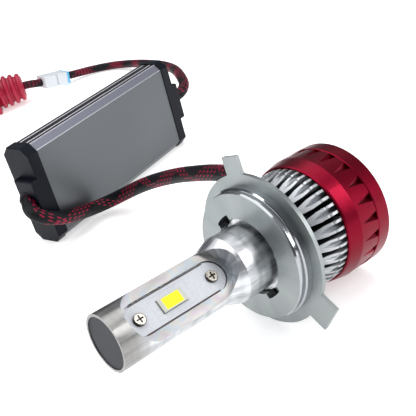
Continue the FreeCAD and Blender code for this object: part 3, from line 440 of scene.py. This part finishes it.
def white_board():
    """Aluminium-backed LED board: white solder mask, an outline in print, cut brown edges, and
    painted shade along its long edges and round the LED's foot.
    """
    material, tree, shader = start_material(
        "white_solder_mask", Base_Color=linear("#CBCED4"), Roughness=0.34, IOR=1.5)
    place = lamp_place(tree)
    x, y, z = add_node(tree, "SeparateXYZ", place, out=None)
    face = add_node(
        tree, "Math", add_node(tree, "Math", x, operation="ABSOLUTE"), BOARD_FACE,
        operation="GREATER_THAN")
    # A printed line 0.12 mm wide frames the LED, 6.4 mm by 12 mm.
    from_y = add_node(
        tree, "Math", add_node(tree, "Math", y, operation="ABSOLUTE"), 3.1 * MM,
        operation="SUBTRACT")
    from_z = add_node(
        tree, "Math",
        add_node(
            tree, "Math", add_node(tree, "Math", z, LED_MIDDLE, operation="SUBTRACT"),
            operation="ABSOLUTE"), 5.6 * MM, operation="SUBTRACT")
    frame_line = add_node(
        tree, "Math",
        add_node(
            tree, "Math", add_node(tree, "Math", from_y, from_z, operation="MAXIMUM"),
            operation="ABSOLUTE"), 0.07 * MM, operation="LESS_THAN")
    # Ripple of the mask, 0.7 mm across.
    speckle = add_node(tree, "TexNoise", {"Vector": place, "Scale": 1500.0, "Detail": 2.0})
    mask = add_node(
        tree, "ValToRGB", speckle, stops=((0.3, linear("#C6C9CF")), (0.7, linear("#D0D3D9"))))
    mask_print_and_shade = add_node(
        tree, "Mix", {
            0: add_node(tree, "Math", frame_line, 0.5, operation="MULTIPLY"), 6: mask,
            7: linear("#AEB1B9")}, out=2, data_type="RGBA")
    # Along the two long edges lies a dark brown strip 0.3 mm wide and 24 mm long, standing for the
    # board's brown edge with painted shade in the gap beside it.
    edge_gap_shade = add_node(
        tree, "Math",
        add_node(
            tree, "Math", add_node(tree, "Math", y, operation="ABSOLUTE"), 3.88 * MM,
            operation="GREATER_THAN"),
        add_node(
            tree, "Math",
            add_node(
                tree, "Math", add_node(tree, "Math", z, 30.0 * MM, operation="SUBTRACT"),
                operation="ABSOLUTE"), 11.5 * MM, operation="LESS_THAN"), operation="MULTIPLY")
    mask_print_and_shade = add_node(
        tree, "Mix", {0: edge_gap_shade, 6: mask_print_and_shade, 7: linear("#33191A")}, out=2, data_type="RGBA")
    # Painted shade in a dark line 0.14 mm wide round the foot of the LED.
    beside = add_node(
        tree, "Math",
        add_node(
            tree, "Math", add_node(tree, "Math", y, operation="ABSOLUTE"), LED_HALF[0],
            operation="SUBTRACT"),
        add_node(
            tree, "Math",
            add_node(
                tree, "Math", add_node(tree, "Math", z, LED_MIDDLE, operation="SUBTRACT"),
                operation="ABSOLUTE"), LED_HALF[1], operation="SUBTRACT"), operation="MAXIMUM")
    mask_print_and_shade = add_node(
        tree, "Mix", {
            0: add_node(tree, "Math", beside, 0.14 * MM, operation="LESS_THAN"), 6: mask_print_and_shade,
            7: linear("#2E2C33")}, out=2, data_type="RGBA")
    fill_socket(
        tree, shader, "Base Color",
        add_node(
            tree, "Mix", {0: face, 6: linear("#4A2A22"), 7: mask_print_and_shade}, out=2, data_type="RGBA"))
    fill_socket(
        tree, shader, "Normal",
        add_node(tree, "Bump", {"Height": speckle, "Distance": 0.006 * MM, "Strength": 0.5}))
    return material


def phosphor_coat():
    """Phosphor in clear silicone: strong lemon yellow, faintly grainy, with a little emission as a
    painted glow.
    """
    material, tree, shader = start_material(
        "lemon_phosphor", Base_Color=linear("#F1F10A"), Roughness=0.45, IOR=1.41,
        Emission_Color=linear("#E6EE00"), Emission_Strength=0.35)
    grain = add_node(
        tree, "TexNoise",
        {"Vector": add_node(tree, "TexCoord", out="Object"), "Scale": 3500.0, "Detail": 2.0})
    fill_socket(
        tree, shader, "Base Color",
        add_node(
            tree, "ValToRGB", grain, stops=((0.3, linear("#E8EA00")), (0.7, linear("#FAFA22")))))
    fill_socket(
        tree, shader, "Normal",
        add_node(tree, "Bump", {"Height": grain, "Distance": 0.01 * MM, "Strength": 0.4}))
    return material


CARRIERS = 24           # strands each way round the braided sleeve
THICK_TURN = 30 * MM    # how far the lamp cable's strands run in one turn
THIN_TURN = 26 * MM     # the same on the thinner leads
CABLE_RADIUS = 2.6 * MM
LEAD_RADIUS = 2.4 * MM
FILAMENTS = 2           # visible threads side by side in each strand


def either(tree, choice, one, other):
    """The first value where the choice is 1, and the other where it is 0."""
    return add_node(
        tree, "Math", add_node(tree, "Math", choice, one, operation="MULTIPLY"),
        add_node(
            tree, "Math", add_node(tree, "Math", 1.0, choice, operation="SUBTRACT"), other,
            operation="MULTIPLY"), operation="ADD")


def braid_material(name, turn_length, red_one_way, red_other_way):
    """Braided polyester sleeve: black strands with a few crimson ones wound among them, with
    painted highlights on the filaments and painted shade at the strands' edges.

    The pattern follows the sleeve's own map: U goes once round it and V is metres along it.
    """
    material, tree, shader = start_material(
        name, Base_Color=linear("#0B0C10"), Roughness=0.36, IOR=1.5,
        Specular_IOR_Level=0.2)
    wrap = add_node(tree, "UVMap", uv_map="UVMap")
    u, v = add_node(tree, "SeparateXYZ", wrap, out=None)[:2]
    side = add_node(tree, "Math", u, float(CARRIERS), operation="MULTIPLY")
    ahead = add_node(tree, "Math", v, CARRIERS / turn_length, operation="MULTIPLY")
    one = add_node(tree, "Math", side, ahead, operation="ADD")
    other = add_node(tree, "Math", side, ahead, operation="SUBTRACT")
    one_count, other_count = (
        add_node(tree, "Math", one, operation="FLOOR"),
        add_node(tree, "Math", other, operation="FLOOR"))
    both = add_node(
        tree, "Math", add_node(tree, "Math", one_count, other_count, operation="ADD"), 4.0,
        operation="FLOORED_MODULO")
    on_top = add_node(tree, "Math", both, 1.5, operation="LESS_THAN")
    across_one, across_other = (
        add_node(tree, "Math", one, operation="FRACT"),
        add_node(tree, "Math", other, operation="FRACT"))
    across = either(tree, on_top, across_one, across_other)
    red_a = add_node(
        tree, "Math",
        add_node(tree, "Math", one_count, float(CARRIERS), operation="FLOORED_MODULO"),
        red_one_way - 0.5, operation="LESS_THAN")
    red_b = add_node(
        tree, "Math",
        add_node(tree, "Math", other_count, float(CARRIERS), operation="FLOORED_MODULO"),
        red_other_way - 0.5, operation="LESS_THAN")
    red = either(tree, on_top, red_a, red_b)
    # Crimson strands lie between black ones, so that they read as thin separate lines.
    counted = either(tree, on_top, one_count, other_count)
    red = add_node(
        tree, "Math", red,
        add_node(
            tree, "Math", add_node(tree, "Math", counted, 2.0, operation="FLOORED_MODULO"), 0.5,
            operation="LESS_THAN"), operation="MULTIPLY")
    thread = add_node(
        tree, "Math",
        add_node(
            tree, "Math",
            add_node(tree, "Math", across, FILAMENTS * math.pi, operation="MULTIPLY"),
            operation="SINE"), operation="ABSOLUTE")
    edge = add_node(
        tree, "Math", add_node(tree, "Math", across, 0.5, operation="SUBTRACT"),
        operation="ABSOLUTE")
    # Painted highlight: each filament is coloured lighter along its crown than at its sides.
    filament_highlight = add_node(tree, "MapRange", thread, 0.2, 1.0, 0.0, 1.0)
    black = add_node(
        tree, "Mix", {0: filament_highlight, 6: linear("#030304"), 7: linear("#101218")}, out=2,
        data_type="RGBA")
    crimson = add_node(
        tree, "Mix", {0: filament_highlight, 6: linear("#4A0A1E"), 7: linear("#B41A44")}, out=2,
        data_type="RGBA")
    colour = add_node(tree, "Mix", {0: red, 6: black, 7: crimson}, out=2, data_type="RGBA")
    # Painted shade: each strand darkens to near black at its edges, where it dips under its
    # neighbours.
    colour = add_node(
        tree, "Mix", {
            0: add_node(tree, "MapRange", edge, 0.4, 0.5, 0.0, 0.8), 6: colour,
            7: linear("#050506")}, out=2, data_type="RGBA")
    fill_socket(tree, shader, "Base Color", colour)
    fill_socket(
        tree, shader, "Normal",
        add_node(tree, "Bump", {"Height": thread, "Distance": 0.05 * MM, "Strength": 0.8}))
    return material


def rubber(name, colour, light):
    """Moulded rubber: dull, with a dusty bloom in patches."""
    return moulded_plastic(name, colour, light, 0.62, 0.2, 0.02)


def connector_nylon():
    """Natural nylon moulding: milky white, with the blue wire seal showing at its mouth."""
    material, tree, shader = start_material(
        "natural_white_nylon", Base_Color=linear("#DDE2E8"), Roughness=0.38, IOR=1.53)
    place = piece_place(tree, LINK_PLACE.to_translation(), LINK_PLACE.to_euler())
    along = add_node(tree, "SeparateXYZ", place)
    # The seal is the first 1.2 mm and fades into the nylon over the next 1.4 mm.
    seal = add_node(tree, "MapRange", along, 1.2 * MM, 2.6 * MM, 1.0, 0.0)
    # Mould texture 0.7 mm across.
    grain = add_node(tree, "TexNoise", {"Vector": place, "Scale": 1400.0, "Detail": 2.0})
    nylon = add_node(
        tree, "ValToRGB", grain, stops=((0.3, linear("#D6DBE2")), (0.7, linear("#E6EAEE"))))
    fill_socket(
        tree, shader, "Base Color",
        add_node(tree, "Mix", {0: seal, 6: nylon, 7: linear("#4FB4E4")}, out=2, data_type="RGBA"))
    fill_socket(
        tree, shader, "Normal",
        add_node(tree, "Bump", {"Height": grain, "Distance": 0.01 * MM, "Strength": 0.5}))
    return material


def studio_floor():
    """A pale sweep of matt paper."""
    return start_material(
        "pale_paper", Base_Color=linear("#F6F6F6"), Roughness=0.9,
        Emission_Color=linear("#FFFFFF"), Emission_Strength=0.5)[0]


MATERIALS = {
    "lamp_aluminium": turned_aluminium(),
    "tip_paint": moulded_plastic("dark_grey_tip_paint", "#262A30", "#2E3238", 0.5, 0.15,
                                 shine=0.2),
    "board_mask": white_board(),
    "led_ceramic": moulded_plastic("cream_led_ceramic", "#BDBDB2", "#CACAC0", 0.4, 0.1),
    "phosphor": phosphor_coat(),
    "screw_steel": screw_steel(),
    "cap_metal": cap_metal(),
    "black_rubber": rubber("black_rubber", "#131417", "#202227"),
    "sink_aluminium": cast_sink_aluminium(),
    "red_anodised": red_anodising(),
    "fan_plastic": moulded_plastic("black_glass_filled_plastic", "#17181B", "#22242A", 0.45),
    "tinned_brass": plain_metal("tinned_brass", "#B9B39C", "#DCD8C8", 0.28),
    "circuit_green": moulded_plastic("green_circuit_board", "#1C4A30", "#265C3C", 0.4, 0.3),
    "motor_steel": plain_metal("motor_steel", "#8E9094", "#B4B6B9", 0.34),
    "copper_wire": plain_metal("enamelled_copper", "#9A4F28", "#C06E3C", 0.3),
    "ferrite": moulded_plastic("ferrite", "#26272A", "#34363A", 0.55),
    "sleeve_anodised": sleeve_anodising(),
    "end_plastic": moulded_plastic("black_abs", "#090C15", "#101420", 0.4, 0.16, shine=0.14),
    "can_blue": moulded_plastic("blue_can_sleeve", "#1E3C78", "#2A4F96", 0.35),
    "nylon_white": connector_nylon(),
    "plug_red": moulded_plastic("crimson_vinyl", "#A1062F", "#B50C3C", 0.42, 0.2, 0.03),
}
NODE_MATERIALS = {
    "lamp_body": "lamp_aluminium", "tip_disc": "tip_paint", "led_board_front": "board_mask",
    "led_board_back": "board_mask", "led_package_front": "led_ceramic",
    "led_package_back": "led_ceramic", "led_phosphor_front": "phosphor",
    "led_phosphor_back": "phosphor", "board_screws": "screw_steel",
    "bayonet_pins": "motor_steel", "cap_flange": "cap_metal", "cap_seal": "black_rubber",
    "lamp_cable_gland": "black_rubber", "grommet_lamp": "black_rubber",
    "grommet_plug": "black_rubber", "heat_sink": "sink_aluminium",
    "fan_shroud": "red_anodised", "fan_frame": "fan_plastic", "fan_rotor": "fan_plastic",
    "driver_transistors": "fan_plastic", "fan_bearing": "tinned_brass",
    "plug_blade_left": "tinned_brass", "plug_blade_right": "tinned_brass",
    "plug_blade_top": "tinned_brass", "fan_circuit_board": "circuit_green",
    "driver_circuit_board": "circuit_green", "fan_stator": "motor_steel",
    "fan_shaft": "motor_steel", "fan_coils": "copper_wire", "fan_magnet": "ferrite",
    "driver_inductor": "ferrite", "driver_sleeve": "sleeve_anodised",
    "driver_end_lamp": "end_plastic", "driver_end_plug": "end_plastic",
    "driver_capacitors": "can_blue", "connector_plug_half": "nylon_white",
    "connector_socket_half": "nylon_white", "plug_boot": "plug_red", "plug_body": "plug_red",
}
for node_name, finish in NODE_MATERIALS.items():
    slots = NODES[node_name].data.materials
    if not slots:
        slots.append(MATERIALS[finish])
    for index in range(len(slots)):
        slots[index] = MATERIALS[finish]


# ------------------------------------------------------------------------ the plug boot
BOOT_SIDES = 64
BOOT_REACH = (9.5 * MM, 10.5 * MM)      # half its height and half its width
# Each rib's start in mm from the lead's end, and its share of the boot's full reach.
BOOT_RIBS = ((0.7, 0.88), (4.8, 0.95), (8.9, 0.99), (13.0, 1.0))
NECK = 0.83                             # the core's share of the ribs' reach


def boot_outline():
    """The boot from the lead's end to the plug, as (mm along it, share of its full reach)."""
    outline = [(0.3, 0.66)]
    for start, reach in BOOT_RIBS:
        neck = NECK * reach
        outline += [(start, neck), (start + 0.2, reach - 0.06), (start + 0.8, reach - 0.01),
                    (start + 1.4, reach), (start + 2.0, reach - 0.01),
                    (start + 2.6, reach - 0.06), (start + 2.9, neck)]
    return outline + [(17.0, NECK)]


def ribbed_boot():
    """A strain-relief boot drawn out rib by rib from one oval end."""
    bpy.ops.object.select_all(action="DESELECT")
    bpy.ops.mesh.primitive_circle_add(vertices=BOOT_SIDES, radius=1.0, fill_type="NGON")
    boot = bpy.context.active_object
    boot.name = "ribbed_plug_boot"
    bpy.ops.object.mode_set(mode="EDIT")
    bpy.ops.mesh.select_all(action="SELECT")
    share = 0.56
    bpy.ops.transform.resize(value=(BOOT_REACH[0] * share, BOOT_REACH[1] * share, 1.0))
    far = 0.0
    for place, wanted in boot_outline():
        bpy.ops.mesh.extrude_region_move(
            TRANSFORM_OT_translate={"value": (0.0, 0.0, (place - far) * MM)})
        bpy.ops.transform.resize(value=(wanted / share, wanted / share, 1.0))
        far, share = place, wanted
    bpy.ops.mesh.select_all(action="SELECT")
    bpy.ops.mesh.normals_make_consistent(inside=False)
    bpy.ops.object.mode_set(mode="OBJECT")
    boot.matrix_world = PLUG_PLACE @ Matrix.Rotation(math.radians(90), 4, "Y")
    bpy.ops.object.transform_apply(location=True, rotation=True, scale=True)
    soften = boot.modifiers.new("softened_edges", "BEVEL")
    soften.width = 0.18 * MM
    soften.segments = 2
    soften.limit_method = "ANGLE"
    bpy.ops.object.modifier_apply(modifier=soften.name)
    bpy.ops.object.shade_smooth_by_angle(angle=math.radians(35))
    boot.data.materials.append(MATERIALS["plug_red"])
    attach(boot, "lamp")
    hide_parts("plug_boot")
    return boot


plug_boot = ribbed_boot()


# ---------------------------------------------------------------------------- the cords
LAMP_CABLE_ROUTE = [
    (-0.00927, -0.01025, 0.01124), (-0.01071, -0.01480, 0.01274), (-0.01260, -0.01960, 0.01260),
    (-0.01420, -0.02540, 0.01070), (-0.01550, -0.03350, 0.00860), (-0.01700, -0.04350, 0.00540),
    (-0.01840, -0.05400, 0.00200), (-0.01940, -0.06550, -0.00220), (-0.01980, -0.07680, -0.00660),
    (-0.01920, -0.08600, -0.01060), (-0.01760, -0.09240, -0.01360),
    (-0.01460, -0.09730, -0.01580), (-0.00980, -0.10000, -0.01660),
    (-0.00420, -0.09970, -0.01560), (0.00160, -0.09720, -0.01340), (0.00760, -0.09440, -0.01080),
    (0.01340, -0.09340, -0.00780), (0.01740, -0.09580, -0.00520), (0.01795, -0.10009, -0.00288),
    (0.01544, -0.10354, -0.00181),
]
SUPPLY_LEAD_ROUTE = [
    (-0.07166, -0.12539, -0.00181), (-0.07410, -0.12420, -0.00114), (-0.07840, -0.12410, 0.00000),
    (-0.08290, -0.12780, 0.00100), (-0.08700, -0.13440, 0.00150), (-0.09400, -0.14600, 0.00070),
    (-0.10340, -0.16300, -0.00220), (-0.11340, -0.18600, -0.00620), (-0.12200, -0.20900, -0.01060),
    (-0.12940, -0.23100, -0.01480), (-0.13340, -0.24900, -0.01780), (-0.13120, -0.26400, -0.01890),
    (-0.12200, -0.27460, -0.01880), (-0.11070, -0.27802, -0.01777), (-0.10280, -0.27830, -0.01651),
]
PLUG_LEAD_ROUTE = [
    (-0.08562, -0.27890, -0.01379), (-0.08266, -0.27900, -0.01332),
    (-0.07722, -0.27923, -0.01171), (-0.07450, -0.28050, -0.01171),
]


def spline_line(name, route):
    """The points of a smooth NURBS line whose control points are the route's."""
    curve = bpy.data.curves.new(name, "CURVE")
    curve.dimensions = "3D"
    curve.resolution_u = 32
    spline = curve.splines.new("NURBS")
    spline.points.add(len(route) - 1)
    for point, spot in zip(spline.points, route):
        point.co = (*spot, 1.0)
    spline.order_u = 3
    spline.use_endpoint_u = True
    holder = bpy.data.objects.new(name, curve)
    bpy.context.scene.collection.objects.link(holder)
    bpy.context.view_layer.update()
    mesh = bpy.data.meshes.new_from_object(holder)
    line = [vertex.co.copy() for vertex in mesh.vertices]
    bpy.data.objects.remove(holder)
    bpy.data.meshes.remove(mesh)
    return line


def even_steps(line, step):
    """The same line with its points an even step apart, and the distance to each."""
    total = sum((after - before).length for before, after in zip(line, line[1:]))
    count = max(8, round(total / step))
    wanted = [total * index / count for index in range(count + 1)]
    points, gone, spot = [], 0.0, 0
    for target in wanted:
        while spot < len(line) - 2 and gone + (line[spot + 1] - line[spot]).length < target:
            gone += (line[spot + 1] - line[spot]).length
            spot += 1
        run = line[spot + 1] - line[spot]
        share = min(1.0, max(0.0, (target - gone) / run.length)) if run.length else 0.0
        points.append(line[spot] + run * share)
    return points, wanted, total


STEPS_ROUND = 96               # mesh steps round a sleeve, four to each strand
STEP_ALONG = 0.22 * MM         # mesh step along a sleeve
WEAVE_DEPTH = 0.22 * MM        # how far a strand dips under the one that crosses it


def weave_depth(u, v, turn_length):
    """How far the braid's surface lies under its top at a place on it."""
    one = (u + v / turn_length) * CARRIERS
    other = (u - v / turn_length) * CARRIERS
    over = (math.floor(one) + math.floor(other)) % 4 < 2
    across = (one if over else other) % 1.0 - 0.5
    along = (other if over else one) % 1.0 - 0.5
    crown = math.cos(across * math.pi) ** 0.6
    return WEAVE_DEPTH * (1.0 - crown * (0.82 + 0.18 * math.cos(along * math.pi)))


def braided_sleeve(name, route, radius, turn_length, finish):
    """A braided tube with its woven strands raised, along a smooth line."""
    line = spline_line(name + "_line", route)
    points, reached, total = even_steps(line, STEP_ALONG)
    mesh = bpy.data.meshes.new(name)
    shape = bmesh.new()
    wrap = shape.loops.layers.uv.new("UVMap")
    side = (points[1] - points[0]).orthogonal().normalized()
    rings = []
    for index, (spot, far) in enumerate(zip(points, reached)):
        ahead = points[min(index + 1, len(points) - 1)] - points[max(index - 1, 0)]
        ahead.normalize()
        side = (side - ahead * side.dot(ahead)).normalized()
        third = ahead.cross(side)
        ring = []
        for step in range(STEPS_ROUND):
            turn = 2 * math.pi * step / STEPS_ROUND
            away = radius - weave_depth(step / STEPS_ROUND, far, turn_length)
            ring.append(shape.verts.new(
                spot + side * (math.cos(turn) * away) + third * (math.sin(turn) * away)))
        rings.append(ring)
    for index, (near, far) in enumerate(zip(rings, rings[1:])):
        for step in range(STEPS_ROUND):
            after = (step + 1) % STEPS_ROUND
            face = shape.faces.new((near[step], near[after], far[after], far[step]))
            face.smooth = True
            low, high = step / STEPS_ROUND, (step + 1) / STEPS_ROUND
            for loop, place in zip(face.loops, ((low, reached[index]), (high, reached[index]),
                                                (high, reached[index + 1]),
                                                (low, reached[index + 1]))):
                loop[wrap].uv = place
    shape.faces.new(list(reversed(rings[0])))
    shape.faces.new(rings[-1])
    shape.to_mesh(mesh)
    shape.free()
    mesh.materials.append(finish)
    sleeve = bpy.data.objects.new(name, mesh)
    bpy.context.scene.collection.objects.link(sleeve)
    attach(sleeve, "lamp")
    return sleeve, points, total


THICK_BRAID = braid_material("thick_black_and_crimson_braid", THICK_TURN, 9, 5)
THIN_BRAID = braid_material("thin_black_and_crimson_braid", THIN_TURN, 11, 9)

lamp_cord, lamp_line, lamp_length = braided_sleeve(
    "lamp_cable_braid", LAMP_CABLE_ROUTE, CABLE_RADIUS, THICK_TURN, THICK_BRAID)
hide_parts("lamp_cable")

supply_cord, supply_line, supply_length = braided_sleeve(
    "supply_lead_braid", SUPPLY_LEAD_ROUTE, LEAD_RADIUS, THIN_TURN, THIN_BRAID)
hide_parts("supply_lead")

plug_cord = braided_sleeve(
    "plug_lead_braid", PLUG_LEAD_ROUTE, LEAD_RADIUS, THIN_TURN, THIN_BRAID)[0]
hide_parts("plug_lead")


# -------------------------------------------------------------------- floor and lights
bpy.ops.object.select_all(action="DESELECT")
bpy.ops.mesh.primitive_plane_add(size=40.0, location=(0, 0, TABLE))
floor = bpy.context.active_object
floor.name = "studio_floor"
floor.data.materials.append(studio_floor())


def soft_light(name, place, aim, size, power, colour="#FFFFFF"):
    light = bpy.data.lights.new(name, "AREA")
    light.shape = "RECTANGLE"
    light.size, light.size_y = size
    light.energy = power
    light.color = linear(colour)[:3]
    lamp = bpy.data.objects.new(name, light)
    lamp.location = place
    lamp.rotation_euler = (Vector(aim) - Vector(place)).to_track_quat("-Z", "Y").to_euler()
    bpy.context.scene.collection.objects.link(lamp)


soft_light("overhead_softbox", (-0.3, -0.6, 2.4), (-0.1, -0.3, 0.0), (3.0, 3.0), 50.0)
soft_light("left_strip", (0.5, -0.30, 0.30), (0.0, -0.03, 0.0), (0.10, 0.5), 1.3)
soft_light("right_strip", (-0.30, 0.40, 0.30), (0.0, 0.0, 0.0), (0.12, 0.5), 1.6)

world = bpy.data.worlds.new("studio_room")
bpy.context.scene.world = world
world.use_nodes = True
room = world.node_tree
sky = add_node(room, "TexCoord", out="Generated")
up = add_node(room, "SeparateXYZ", sky, out=2)
glow = add_node(
    room, "ValToRGB", add_node(room, "MapRange", up, -0.2, 1.0, 0.0, 1.0),
    stops=(
        (0.0, linear("#8A8B8D")), (0.2, linear("#626368")), (0.4, linear("#7A7C80")),
        (0.8, linear("#C4C5C8"))))
room.links.new(glow, room.nodes["Background"].inputs["Color"])
room.nodes["Background"].inputs["Strength"].default_value = 0.8

view = bpy.context.scene.view_settings
view.view_transform = "Standard"
view.look = "None"
view.exposure = 0.0
